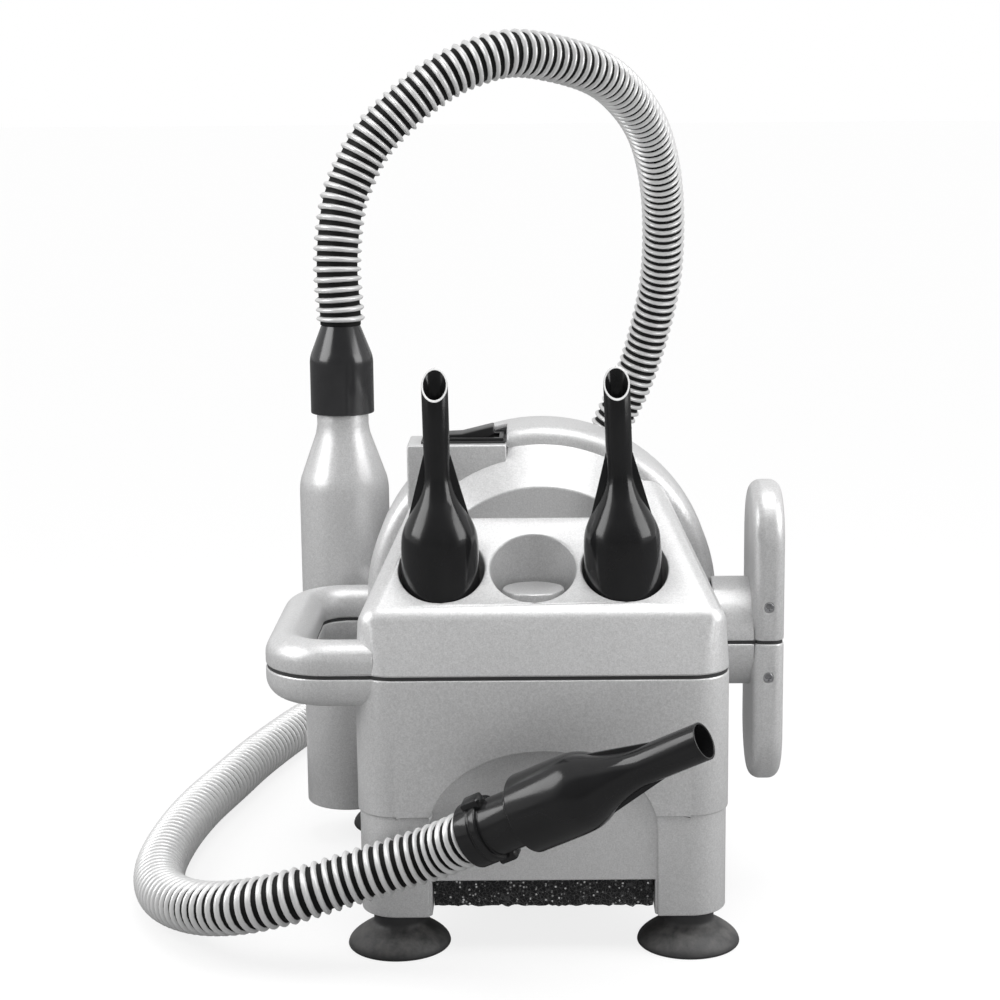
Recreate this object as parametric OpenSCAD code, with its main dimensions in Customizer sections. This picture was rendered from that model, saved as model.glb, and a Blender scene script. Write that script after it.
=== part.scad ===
// Portable pet dryer: a blower in a two-part moulded casing with a ribbed hose and three nozzles.
// X runs to the right, Y to the rear, Z up. Z = 0 is the floor.

/* [Casing] */
// Width of the casing
body_w = 224; // [220:1:236]
// Depth of the casing from front face to rear wall
body_d = 280; // [274:1:300]
// Radius of the upright corners
corner_r = 24; // [18:1:28]
// Thickness of the moulded walls
wall = 3; // [2.5:0.25:3.5]
// Height of the underside of the legs
leg_z = 25; // [22:1:27]
// Width of each leg
leg_w = 45; // [40:1:46]
// Depth of each leg
leg_d = 44; // [40:1:48]
// Height of the lower edge of the walls
belly_z = 47; // [45:1:50]
// Height at which the lower band of the casing begins
band_z = 88; // [80:1:95]
// Inset of the lower band
band_in = 1.2; // [0.6:0.2:1.6]
// Height of the underside of the seam gasket
seam_z = 172.5; // [168:0.5:178]
// Thickness of the seam gasket
seam_t = 2; // [1.5:0.25:3]
// Half width of the arch recess in the front face
arch_hw = 68.5; // [60:0.5:72]
// Height of the top of the arch recess
arch_top = 129; // [120:1:140]
// Rise of the arch above its straight sides
arch_rise = 50; // [40:1:60]
// Depth of the arch recess
arch_depth = 4; // [2:0.5:5]

/* [Cover] */
// Height of the drum axis
drum_z = 194; // [190:1:198]
// Height of the tray's front lip
lip_z = 210.5; // [207:0.5:213]
// Distance of the tray's front lip behind the front face
lip_y = 12; // [8:1:14]
// Slope of the tray in degrees
tray_angle = 30.5; // [29:0.5:32]
// Rounding of the tray's edges
edge_r = 13; // [11:0.5:14]
// Distance of the drum's front wall behind the front face
face_y = 85; // [80:1:90]
// Radius of the drum's front wall
face_r = 79; // [74:1:84]
// Distance of the outer edge of the sloped band behind the front face
band_y = 115; // [110:1:118]
// Rounding of the drum's front edge
drum_edge_r = 11; // [8:1:14]
// Taper of the drum behind the motor bulkhead in degrees
drum_taper = 10.5; // [9:0.5:12]

/* [Nozzle pockets] */
// Diameter of each pocket
pocket_d = 52; // [51:0.5:53]
// Distance between pockets
pocket_pitch = 55.5; // [55:0.5:57]
// Sideways shift of the row of pockets
pocket_shift = -5; // [-6:1:0]
// Distance of the row behind the front face
pocket_y = 46; // [44:1:49]
// Height of the pocket floors
pocket_z = 198; // [196:1:200]
// Diameter of the peg in each pocket
peg_d = 37.5; // [34:0.5:38]
// Height of the peg
peg_h = 20; // [12:1:24]

/* [Handle] */
// Reach of the handle left of the casing's middle
handle_reach = 168; // [164:1:176]
// Width of the handle's section
handle_w = 26; // [24:1:30]
// Height of the handle's section
handle_h = 40; // [34:1:46]
// Front edge of the handle
handle_y0 = 4; // [2:1:8]
// Rear edge of the handle
handle_y1 = 178; // [165:1:182]
// Centre line radius of the handle's corners
handle_bend = 28; // [22:1:34]

/* [Cord wrap] */
// Diameter of the stem
stem_d = 69; // [60:1:72]
// Distance of the stem's axis behind the front face
stem_y = 117; // [110:1:125]
// Inner face of the flange, right of the casing's middle
flange_x0 = 132; // [129:1:136]
// Thickness of the flange
flange_t = 20; // [19:1:24]
// Height of the flange
flange_h = 195; // [170:1:210]
// Depth of the flange
flange_d = 72; // [72:1:80]
// Rounding of the flange's rim
flange_r = 7.5; // [6:0.5:9]

/* [Feet and filter] */
// Diameter of the suction cups
cup_d = 63; // [56:1:64]
// Diameter of the neck of a foot
foot_neck_d = 31; // [26:1:34]
// Distance between the front feet
foot_front_pitch = 177; // [170:1:182]
// Distance between the rear feet
foot_rear_pitch = 200; // [190:1:204]
// Sideways shift of the rear feet
foot_rear_shift = -4; // [-6:1:0]
// Distance of the front feet behind the front face
foot_front_in = 25; // [24:1:30]
// Distance of the rear feet before the rear wall
foot_rear_in = 32; // [30:1:34]
// Diameter of the studs in the feet
stud_d = 6; // [5:0.5:8]
// Length of the filter foam
filter_l = 262; // [250:1:264]
// Clearance round the filter foam
filter_gap = 0.3; // [0.3:0.1:0.6]
// Diameter of the wires under the filter
wire_d = 2; // [1.6:0.2:2.4]

/* [Switch] */
// Left end of the switch box
box_x0 = -84; // [-87:1:-82]
// Right end of the switch box
box_x1 = -21.5; // [-24:0.5:-20]
// Front of the switch box
box_y0 = 106; // [104:1:108]
// Rear of the switch box
box_y1 = 148; // [146:1:150]
// Height of the flat top of the switch box
box_z = 296; // [294:0.5:298]
// Length of the rocker
rocker_l = 41; // [36:1:42]
// Width of the rocker
rocker_w = 18; // [16:1:20]
// Tilt of the rocker at rest in degrees
rocker_tilt = 8; // [5:1:10]

/* [Riser and hose] */
// Diameter of the riser
riser_d = 61; // [58:1:62]
// Distance of the riser's axis left of the casing's middle
riser_x = -135; // [-137:1:-133]
// Distance of the riser's axis behind the front face
riser_y = 230; // [228:1:234]
// Height of the riser's underside
riser_z = 26; // [24:1:40]
// Height at which the riser's shoulder begins
shoulder_z = 246; // [236:1:250]
// Height at which the riser's neck begins
neck_z = 292; // [286:1:296]
// Diameter of the riser's neck
neck_d = 35; // [33:1:37]
// Diameter of the hose cuff
cuff_d = 43; // [42:1:48]
// Outer diameter of the outlet duct
duct_d = 38; // [34:1:42]
// Height of the outlet duct's axis
duct_z = 110; // [100:1:130]
// Outer diameter of the hose over its ribs
hose_d = 33; // [31:0.5:34]
// Depth of the hose's grooves
rib_depth = 2.6; // [1.5:0.1:3]
// Diameter of the hose's bore
hose_bore = 20; // [16:1:21]
// Number of ribs on a metre of hose
ribs_per_metre = 112; // [60:1:114]

/* [Nozzles] */
// Outer diameter of a stored nozzle's base
base_d = 47; // [46:0.5:48]
// Inner diameter of a stored nozzle's base
base_bore = 41; // [40.5:0.5:42]
// Diameter of the collar at the foot of a stored nozzle
collar_d = 50; // [49:0.5:50.5]
// Diameter of a stored nozzle's tube
tube_d = 16; // [14:0.5:18]
// Height of a stored nozzle
nozzle_h = 153; // [140:1:160]
// Lean of the left nozzle in degrees
lean_left = 1; // [0:0.5:1]
// Lean of the right nozzle in degrees
lean_right = 2; // [0:0.5:2]
// Diameter of the straight nozzle's large end
large_d = 47; // [46:1:48]
// Diameter of the straight nozzle's tip
tip_d = 21.5; // [18:0.5:24]
// Length of the straight nozzle
straight_l = 121; // [112:1:126]
// Length of the hose connector
connector_l = 54; // [50:1:58]

/* [Motor] */
// Front face of the motor bulkhead, behind the front face
bulkhead_y = 160; // [158:1:164]
// Thickness of the motor bulkhead
bulkhead_t = 4; // [3:0.5:5]
// Outer diameter of the fan shroud
shroud_d = 140; // [132:1:146]
// Length of the fan shroud
shroud_l = 46; // [44:1:48]
// Diameter of the impellers
impeller_d = 126; // [118:1:128]
// Outer diameter of the motor frame
motor_d = 100; // [96:1:106]
// Length of the motor frame
motor_l = 78; // [76:1:84]
// Diameter of the rotor shaft
shaft_d = 8; // [7:0.5:9]
// Radial running clearance of the shaft
shaft_gap = 0.05; // [0.03:0.01:0.1]
// Outer diameter of the bearings
bearing_d = 22; // [20:1:24]
// Width of the bearings
bearing_w = 7; // [6:0.5:8]

/* [Hidden] */

$fn = 64;
hull_fn = 28;
over = 1;
big = 1000;
touch = 0.2;

half_w = body_w / 2;
drum_r = half_w;
seam_top = seam_z + seam_t;
floor_t = wall;
floor_z = belly_z + floor_t;
flange_x1 = flange_x0 + flange_t;
rear_in = body_d - wall;

// Moulded silver plastic, black rubber, glossy black plastic and the metals inside
silver_c = [0.72, 0.73, 0.75];
rubber_c = [0.08, 0.08, 0.09];
black_c = [0.03, 0.03, 0.035];
steel_c = [0.62, 0.63, 0.65];
copper_c = [0.72, 0.42, 0.22];
foam_c = [0.12, 0.12, 0.13];

// The origin is on the floor below the middle of the casing with its handle, flange and feet
module place() {
    front = min(0, foot_front_in - cup_d / 2);
    translate([(handle_reach - flange_x1) / 2, -(body_d + front) / 2, 0]) children();
}

module along_x(x, y, z) {
    translate([x, y, z]) rotate([90, 0, 90]) children();
}

module along_y(x, y, z) {
    translate([x, y, z]) rotate([-90, 0, 0]) children();
}

module ring(od, id, h) {
    difference() {
        cylinder(d = od, h = h);
        translate([0, 0, -over]) cylinder(d = id, h = h + 2 * over);
    }
}

module block(x0, x1, y0, y1, z0, z1) {
    translate([x0, y0, z0]) cube([x1 - x0, y1 - y0, z1 - z0]);
}

module rounded_plan(w, d, r) {
    square([w - 2 * r, d], center = true);
    square([w, d - 2 * r], center = true);
    for (sx = [-1, 1], sy = [-1, 1]) translate([sx * (w / 2 - r), sy * (d / 2 - r)]) circle(r);
}

// Outline of the casing, drawn in by g
module casing_plan(g) {
    translate([0, body_d / 2]) rounded_plan(body_w - 2 * g, body_d - 2 * g, corner_r - g);
}

// Handle

module handle_section(g) {
    r = handle_w / 2 - g;
    square([2 * r, handle_h - handle_w], center = true);
    for (s = [-1, 1]) translate([0, s * (handle_h - handle_w) / 2]) circle(r);
}

handle_x = -handle_reach + handle_w / 2;
handle_z = seam_z + seam_t / 2;
arm_ys = [handle_y0 + handle_w / 2, handle_y1 - handle_w / 2];
arm_x0 = handle_x + handle_bend;
arm_x1 = -half_w + corner_r / 2;

module handle_loop(g) {
    for (y = arm_ys) along_x(arm_x0, y, handle_z) linear_extrude(arm_x1 - arm_x0) handle_section(g);
    along_y(handle_x, arm_ys[0] + handle_bend, handle_z)
        linear_extrude(arm_ys[1] - arm_ys[0] - 2 * handle_bend) handle_section(g);
    for (i = [0, 1]) translate([arm_x0, arm_ys[i] + (1 - 2 * i) * handle_bend, handle_z])
        rotate([0, 0, 180 - 90 * i]) rotate_extrude(angle = 90)
            translate([handle_bend, 0]) handle_section(g);
}

// Cord wrap

module flange_profile(g) {
    r = flange_d / 2 - g;
    e = flange_r - g;
    translate([0, g]) square([r - e, flange_t - 2 * g]);
    translate([0, flange_r]) square([r, flange_t - 2 * flange_r]);
    for (y = [flange_r, flange_t - flange_r]) translate([r - e, y]) circle(e);
}

flange_run = (flange_h - flange_d) / 2;
stem_x0 = half_w - wall - over;

module cord_wrap(g) {
    along_x(stem_x0, stem_y, handle_z) cylinder(d = stem_d - 2 * g, h = flange_x0 + g + over - stem_x0);
    translate([flange_x0, stem_y, handle_z]) for (s = [0, 1]) {
        rotate([180 * s, 0, 0]) translate([0, 0, flange_run]) rotate([90, 0, 90])
            rotate_extrude(angle = 180) flange_profile(g);
        mirror([0, s, 0]) translate([0, 0, -flange_run])
            linear_extrude(2 * flange_run) mirror([1, -1, 0]) flange_profile(g);
    }
}

// Both halves of what stands out of the casing, cut at the seam
module upper_half() {
    intersection() {
        children();
        translate([-big / 2, -big / 2, seam_top]) cube(big);
    }
}

module lower_half() {
    intersection() {
        children();
        translate([-big / 2, -big / 2, seam_z - big]) cube(big);
    }
}

// Riser scallop in the casing's left side
scallop_gap = 0.4;

module riser_core(g) {
    translate([riser_x, riser_y, -over]) cylinder(d = riser_d + 2 * scallop_gap + 2 * g, h = big);
}

// Lower casing

function ellipse(a, b, n) = [for (i = [0:n]) [a * cos(180 * i / n), b * sin(180 * i / n)]];

module arch_plan(g) {
    translate([0, arch_top - arch_rise]) {
        polygon(ellipse(arch_hw + g, arch_rise + g, 24));
        translate([-arch_hw - g, -big]) square([2 * (arch_hw + g), big]);
    }
}

module arch_form(g) {
    translate([0, arch_depth + g, 0]) rotate([90, 0, 0]) linear_extrude(arch_depth + g + over) arch_plan(g);
}

leg_ys = [leg_d / 2, body_d - leg_d / 2];

module leg_plan(g) {
    intersection() {
        casing_plan(band_in + g);
        for (sx = [-1, 1], y = leg_ys) translate([sx * (half_w - leg_w / 2), y])
            square([leg_w - 2 * g, leg_d - 2 * g], center = true);
    }
}

foot_places = [
    [-foot_front_pitch / 2, foot_front_in],
    [foot_front_pitch / 2, foot_front_in],
    [foot_rear_shift - foot_rear_pitch / 2, body_d - foot_rear_in],
    [foot_rear_shift + foot_rear_pitch / 2, body_d - foot_rear_in]
];
stud_top = belly_z - 5;
boss_d = stud_d + 8;

inlet_x = 60;
inlet_z = 108;
inlet_d = 16;

intake_hw = 50;
intake_y0 = 40;
intake_y1 = bulkhead_y - 20;

wire_z = leg_z + 8;
wire_seat = 2;

screw_d = 4;
screw_boss_d = 10;
screw_x = half_w - wall - screw_boss_d / 2 + 1.5;
screw_ys = [40, 186];
screw_boss_h = 18;
cover_boss_h = 14;

module at_screws() {
    for (s = [-1, 1], y = screw_ys) translate([s * screw_x, y, 0]) children();
}

module screw_boss(z0, h) {
    at_screws() translate([0, 0, z0]) cylinder(d = screw_boss_d, h = h);
}

// What is hollow in the lower casing
module casing_inside() {
    difference() {
        union() {
            translate([0, 0, floor_z]) linear_extrude(big) casing_plan(wall + band_in);
            translate([0, 0, band_z]) linear_extrude(big) casing_plan(wall);
            translate([0, 0, leg_z + wall]) linear_extrude(belly_z - leg_z) leg_plan(wall);
        }
        arch_form(wall);
        riser_core(wall);
        screw_boss(seam_z - screw_boss_h, big);
        for (p = foot_places) translate([p[0], p[1], 0]) cylinder(d = boss_d, h = belly_z);
    }
}

module casing_outside() {
    translate([0, 0, belly_z]) linear_extrude(band_z - belly_z) casing_plan(band_in);
    translate([0, 0, band_z]) linear_extrude(seam_z - band_z) casing_plan(0);
    translate([0, 0, leg_z]) linear_extrude(floor_z - leg_z) leg_plan(0);
    lower_half() handle_loop(0);
    lower_half() cord_wrap(0);
}

wire_x = half_w - leg_w + wire_seat;

module wires(d) {
    for (y = leg_ys) along_x(-wire_x, y, wire_z) cylinder(d = d, h = 2 * wire_x);
}

module lower_casing() {
    color(silver_c) place() difference() {
        casing_outside();
        casing_inside();
        lower_half() handle_loop(wall);
        lower_half() cord_wrap(wall);
        arch_form(0);
        riser_core(0);
        block(-intake_hw, intake_hw, intake_y0, intake_y1, 0, floor_z + over);
        along_x(riser_x, riser_y, duct_z) cylinder(d = duct_d + 2 * touch, h = half_w);
        along_y(inlet_x, body_d / 2, inlet_z) cylinder(d = inlet_d, h = body_d);
        at_screws() translate([0, 0, seam_z - screw_boss_h - over])
            cylinder(d = screw_d + 2 * touch, h = screw_boss_h + 2 * over);
        for (p = foot_places) translate([p[0], p[1], 0]) cylinder(d = stud_d, h = stud_top);
        wires(wire_d);
        tie_holes();
    }
}

// Upper cover

// Half width of the tray's flat between its rounded edges, at its front and where it enters the drum
tray_front_hw = half_w - edge_r - 2;
tray_rear_hw = half_w - edge_r - 34.5;
tray_dir = [cos(tray_angle), sin(tray_angle)];
tray_normal = [-sin(tray_angle), cos(tray_angle)];
lip = [lip_y, lip_z];
front_run = lip - [0, seam_top];
front_normal = [-front_run[1], front_run[0]] / norm(front_run);
lip_core = lip - edge_r * (tray_normal + front_normal) / (1 + tray_normal * front_normal);
rear_core = lip_core + tray_dir * (band_y + drum_edge_r + over - lip_core[0]) / tray_dir[0];

module edge_ball(hw, core, g) {
    for (s = [-1, 1]) translate([s * hw, core[0], core[1]]) sphere(edge_r - g, $fn = hull_fn);
}

module tray_wedge(g) {
    z0 = seam_top - (g > 0 ? over : 0);
    hull() {
        for (s = [-1, 1]) translate([s * (half_w - corner_r), corner_r, z0])
            cylinder(r = corner_r - g, h = over, $fn = hull_fn);
        block(-half_w + g, half_w - g, band_y, band_y + over, z0, drum_z);
        edge_ball(tray_front_hw, lip_core, g);
        edge_ball(tray_rear_hw, rear_core, g);
    }
}

function arc(c, r, a0, a1, n) = [for (i = [0:n])
    let (a = a0 + (a1 - a0) * i / n)
    c + r * [cos(a), sin(a)]];

taper_y = bulkhead_y + bulkhead_t;
rear_round = [body_d - corner_r, corner_r * cos(drum_taper)];
rear_round_r = drum_r - rear_round[1]
    - tan(drum_taper) * (rear_round[0] + corner_r * sin(drum_taper) - taper_y);

// The drum's side behind its front edge, as radius and distance from the front
function drum_rear(g) = concat(
    [[drum_r - g, taper_y]],
    arc([rear_round_r, rear_round[0]], corner_r - g, drum_taper, 90, 8),
    [[0, body_d - g]]
);

module drum_profile(g) {
    polygon(concat(
        [[0, face_y + g], [face_r - g / 2, face_y + g]],
        arc([drum_r - drum_edge_r, band_y + drum_edge_r], drum_edge_r - g, -90, 0, 6),
        drum_rear(g)
    ));
}

module drum_half(g) {
    intersection() {
        along_y(0, 0, drum_z) rotate_extrude() drum_profile(g);
        translate([-big / 2, -big / 2, drum_z]) cube(big);
    }
}

// From the casing's outline at the seam to the drum's outline at its axis
module skirt(g) {
    z0 = seam_top - (g > 0 ? over : 0);
    hull() {
        translate([0, 0, z0]) linear_extrude(touch) for (s = [0, 1]) mirror([s, 0]) polygon(concat(
            [[0, band_y], [half_w - g, band_y]],
            arc([half_w - corner_r, body_d - corner_r], corner_r - g, 0, 90, 8),
            [[0, body_d - g]]
        ));
        translate([0, 0, drum_z - touch]) linear_extrude(touch) for (s = [0, 1]) mirror([s, 0])
            polygon(concat([[0, band_y], [half_w - g, band_y]], drum_rear(g)));
    }
}

module cover_form(g) {
    tray_wedge(g);
    drum_half(g);
    skirt(g);
}

pocket_xs = [for (i = [-1:1]) pocket_shift + i * pocket_pitch];

module at_pockets() {
    for (x = pocket_xs) translate([x, pocket_y, pocket_z]) children();
}

box_foot_z = drum_z + 30;
switch_shift = 4;
box_mid = [(box_x0 + box_x1) / 2, (box_y0 + box_y1) / 2];
rocker_room_l = rocker_l + 4;
rocker_room_w = rocker_w + 1.2;
switch_wall = 1.4;
switch_l = rocker_room_l + 2 * switch_wall;
switch_w = rocker_room_w + 2 * switch_wall;

module at_switch(z) {
    translate([box_mid[0] + switch_shift, box_mid[1], z]) children();
}

module plate(l, w, h) {
    translate([-l / 2, -w / 2, 0]) cube([l, w, h]);
}

module cover_inside() {
    difference() {
        cover_form(wall);
        riser_core(wall);
        screw_boss(0, seam_top + cover_boss_h);
        at_pockets() translate([0, 0, -wall]) cylinder(d = pocket_d + 2 * wall, h = big);
        block(box_x0, box_x1 + wall, box_y0, box_y1, box_foot_z, big);
    }
}

module upper_cover() {
    color(silver_c) place() difference() {
        union() {
            cover_form(0);
            block(box_x0, box_x1, box_y0, box_y1, box_foot_z, box_z);
            upper_half() handle_loop(0);
            upper_half() cord_wrap(0);
        }
        cover_inside();
        upper_half() handle_loop(wall);
        upper_half() cord_wrap(wall);
        riser_core(0);
        block(-half_w, box_x1, box_y0, box_y1, box_z, big);
        block(box_x0 + wall, box_x1, box_y0 + wall, box_y1 - wall, drum_z, box_z - wall);
        along_y(0, box_y0, drum_z) cylinder(d = shroud_d + 2 * wall, h = box_y1 - box_y0);
        at_switch(box_z - 2 * wall) plate(switch_l + 2 * touch, switch_w + 2 * touch, 3 * wall);
        at_pockets() difference() {
            cylinder(d = pocket_d, h = big);
            cylinder(d = peg_d, h = peg_h);
        }
        at_screws() cylinder(d = screw_d, h = seam_top + cover_boss_h - wall);
        tie_holes();
    }
}

// Seam gasket

seam_in = 0.8;
loop_w = -half_w + corner_r - handle_x;
loop_d = arm_ys[1] - arm_ys[0];

module loop_plan(e) {
    translate([handle_x + loop_w, arm_ys[0] + loop_d / 2])
        rounded_plan(2 * (loop_w + e), loop_d + 2 * e, handle_bend + e);
}

module handle_plan(g) {
    e = handle_w / 2 - g;
    intersection() {
        difference() {
            loop_plan(e);
            loop_plan(-e);
        }
        translate([arm_x1 - big, 0]) square([big, body_d]);
    }
}

module wrap_plan(g) {
    x0 = half_w - wall;
    translate([x0, stem_y - stem_d / 2 + g]) square([flange_x0 + g + over - x0, stem_d - 2 * g]);
    translate([flange_x0 + flange_t / 2, stem_y])
        rounded_plan(flange_t - 2 * g, flange_d - 2 * g, flange_r - g);
}

module seam_plan(g) {
    casing_plan(g);
    handle_plan(g);
    wrap_plan(g);
}

module seam_gasket() {
    color(rubber_c) place() difference() {
        translate([0, 0, seam_z]) linear_extrude(seam_t) difference() {
            seam_plan(seam_in);
            seam_plan(wall);
        }
        riser_core(wall / 2);
    }
}

// Feet

module suction_foot(i) {
    cup_r = cup_d / 2;
    neck_r = foot_neck_d / 2;
    color(rubber_c) place() translate([foot_places[i][0], foot_places[i][1], 0]) difference() {
        rotate_extrude() polygon([
            [0, 5], [cup_r - 9, 0], [cup_r - 1, 0], [cup_r, 1.2], [cup_r - 0.8, 4], [cup_r - 3.5, 7],
            [neck_r + 7, 11], [neck_r + 1.5, 14], [neck_r, 16], [neck_r, leg_z], [0, leg_z]
        ]);
        translate([0, 0, leg_z - stud_sink]) cylinder(d = stud_d, h = big);
    }
}

stud_sink = 10;

module foot_front_left() { suction_foot(0); }
module foot_front_right() { suction_foot(1); }
module foot_rear_left() { suction_foot(2); }
module foot_rear_right() { suction_foot(3); }

module foot_studs() {
    color(steel_c) place() for (p = foot_places)
        translate([p[0], p[1], leg_z - stud_sink]) cylinder(d = stud_d, h = stud_top - leg_z + stud_sink);
}

// Intake

filter_z0 = wire_z + wire_d / 2 + filter_gap;
filter_y0 = 8;

module intake_filter() {
    hw = half_w - leg_w - filter_gap;
    color(foam_c) place() block(-hw, hw, filter_y0, filter_y0 + filter_l, filter_z0, belly_z - filter_gap);
}

module filter_wires() {
    color(steel_c) place() wires(wire_d);
}

grille_lip = 6;
grille_t = 3;
slot_w = 6;
slot_pitch = 10;

module intake_grille() {
    hw = intake_hw + grille_lip;
    color(black_c) place() difference() {
        block(-hw, hw, intake_y0 - grille_lip, intake_y1 + grille_lip, floor_z, floor_z + grille_t);
        for (x = [-intake_hw + slot_w:slot_pitch:intake_hw - slot_w])
            block(x - slot_w / 2, x + slot_w / 2, intake_y0 + slot_w, intake_y1 - slot_w, 0, big);
    }
}

// Outlet

riser_wall = 3;
neck_top = neck_z + 30;
cuff_z0 = neck_z + 8;
cuff_cone_z = cuff_z0 + 38;
cuff_top = 360;
cuff_end_d = 26;

function riser_outline(g) = concat(
    [[riser_d / 2 - g, riser_z + g], [riser_d / 2 - g, shoulder_z]],
    arc([riser_d / 2 - g - 40, shoulder_z], 40, 0, 14, 3),
    [[neck_d / 2 - g + 1, neck_z - 6], [neck_d / 2 - g, neck_z]]
);

module outlet_riser() {
    color(silver_c) place() difference() {
        translate([riser_x, riser_y, 0]) rotate_extrude() difference() {
            polygon(concat([[0, riser_z]], riser_outline(0), [[neck_d / 2, neck_top], [0, neck_top]]));
            polygon(concat([[0, riser_z + riser_wall]], riser_outline(riser_wall),
                [[neck_d / 2 - riser_wall, neck_top + over], [0, neck_top + over]]));
        }
        along_x(riser_x, riser_y, duct_z) cylinder(d = duct_d + 2 * touch, h = riser_d);
    }
}

strap_z = 140;
strap_h = 14;
strap_t = 1.2;

module riser_strap() {
    color(steel_c) place() difference() {
        translate([riser_x, riser_y, strap_z]) ring(riser_d + 2 * strap_t, riser_d, strap_h);
        translate([0, 0, strap_z - over]) linear_extrude(strap_h + 2 * over) casing_plan(-touch);
    }
}

module outlet_duct() {
    x0 = riser_x + 8;
    x1 = riser_x + riser_d / 2 + scallop_gap + wall;
    color(black_c) place() {
        along_x(x0, riser_y, duct_z) ring(duct_d, duct_d - 4, x1 - x0 + 6);
        along_x(x1 + 4, riser_y, duct_z) ring(duct_d + 12, duct_d - 4, 2);
    }
}

module hose_cuff() {
    color(rubber_c) place() translate([riser_x, riser_y, 0]) rotate_extrude() difference() {
        polygon([
            [0, cuff_z0], [cuff_d / 2, cuff_z0], [cuff_d / 2, cuff_cone_z], [cuff_end_d / 2, cuff_top],
            [0, cuff_top]
        ]);
        polygon([
            [0, cuff_z0 - over], [neck_d / 2, cuff_z0 - over], [neck_d / 2, neck_top],
            [hose_bore / 2, cuff_cone_z], [hose_bore / 2, cuff_top + over], [0, cuff_top + over]
        ]);
    }
}

// Hose

// From the cuff up and over, down behind the casing, round the left side on the floor and up to the nozzle
hose_route = [
    [-135, 230, 360], [-135, 230, 368], [-136, 230, 384], [-136.5, 231, 402], [-134, 234, 430],
    [-128, 238, 453],
    [-109.5, 243, 486], [-72, 250, 519], [-40, 260, 535], [-10, 275, 540], [35, 312, 530],
    [62, 350, 512], [83, 395, 482], [94.5, 438, 436], [96, 472, 376], [87.5, 490, 327],
    [75, 500, 286], [62, 505, 258], [37, 512, 205], [6, 518, 150], [-33, 523, 98],
    [-78, 525, 55], [-122, 518, 29], [-158, 498, 19], [-181, 468, 17], [-196, 430, 17],
    [-217, 356, 17], [-230, 296, 17], [-243, 233, 17], [-250, 170, 17], [-250, 110, 17],
    [-239, 62, 19], [-215, 20, 26.3], [-185, -8, 36], [-150, -20, 47], [-110, -21, 60],
    [-66.9, -25.3, 75.3], [-40.6, -38, 90.6]
];
route_last = len(hose_route) - 1;
hose_sides = 8;
bore_step = 4;
// A direction that the hose never runs along
hose_ref = [0, 1, 1];

function route_at(i) = hose_route[min(max(i, 0), route_last)];

function route_point(i, t) =
    let (a = route_at(i - 1), b = route_at(i), c = route_at(i + 1), d = route_at(i + 2))
    (2 * b + (c - a) * t + (2 * a - 5 * b + 4 * c - d) * t * t + (3 * b - a - 3 * c + d) * t * t * t) / 2;

function route_slope(i, t) =
    let (a = route_at(i - 1), b = route_at(i), c = route_at(i + 1), d = route_at(i + 2))
    ((c - a) + 2 * (2 * a - 5 * b + 4 * c - d) * t + 3 * (3 * b - a - 3 * c + d) * t * t) / 2;

function unit(v) = v / norm(v);

function ribs_between(i) = max(1, round(norm(hose_route[i + 1] - hose_route[i]) * ribs_per_metre / 1000));

hose_stations = concat(
    [for (i = [0:route_last - 1], k = [0:2 * ribs_between(i) - 1]) [i, k / (2 * ribs_between(i)), k % 2]],
    [[route_last - 1, 1, 0]]
);
bore_stations = concat(
    [for (j = [0:bore_step:len(hose_stations) - 2]) hose_stations[j]],
    [hose_stations[len(hose_stations) - 1]]
);

function hose_ring(s, r) =
    let (c = route_point(s[0], s[1]), t = unit(route_slope(s[0], s[1])))
    let (u = unit(cross(hose_ref, t)), v = cross(t, u))
    [for (k = [0:hose_sides - 1]) c + r * (cos(360 * k / hose_sides) * u + sin(360 * k / hose_sides) * v)];

// Triangles between two rings of points that start at a and at b
function ring_band(a, b) = [for (k = [0:hose_sides - 1])
    let (n = (k + 1) % hose_sides)
    each [[a + k, b + n, a + n], [a + k, b + k, b + n]]];

function bands(start, count, flip) = [for (j = [0:count - 2])
    let (a = start + j * hose_sides, b = a + hose_sides)
    each ring_band(flip ? b : a, flip ? a : b)];

module hose() {
    outer = [for (s = hose_stations) each hose_ring(s, hose_d / 2 - (1 - s[2]) * rib_depth)];
    inner = [for (s = bore_stations) each hose_ring(s, hose_bore / 2)];
    n = len(outer);
    m = len(inner);
    color(rubber_c) place() polyhedron(
        points = concat(outer, inner),
        faces = concat(
            bands(0, len(hose_stations), false),
            bands(n, len(bore_stations), true),
            ring_band(n, 0),
            ring_band(n - hose_sides, n + m - hose_sides)
        )
    );
}

// Nozzle on the hose

hose_end = hose_route[route_last];
end_dir = unit(hose_end - hose_route[route_last - 1]);
spigot_l = 14;
spigot_gap = 0.4;
nozzle_wall = 3;
end_gap = 0.2;
connector_d = hose_d + 6;
neck_inset = 2.5;
lug_w = 10;
large_bore = large_d - 2 * nozzle_wall;

module at_hose_end() {
    translate(hose_end) rotate([0, acos(end_dir[2]), atan2(end_dir[1], end_dir[0])]) children();
}

module hose_connector() {
    grip_l = connector_l - spigot_l;
    r = connector_d / 2;
    color(black_c) place() at_hose_end() difference() {
        union() {
            cylinder_from(end_gap, grip_l * 0.4, connector_d);
            cylinder_from(end_gap, grip_l, connector_d - 2 * neck_inset);
            cylinder_from(grip_l - 3, connector_l, large_bore - 2 * spigot_gap);
            for (a = [20, 200]) rotate([0, 0, a]) translate([r - 4, -lug_w / 2, 7]) cube([7, lug_w, 12]);
        }
        translate([0, 0, -over]) cylinder(d = hose_bore, h = big);
    }
}

module cylinder_from(z0, z1, d) {
    translate([0, 0, z0]) cylinder(d = d, h = z1 - z0);
}

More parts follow.
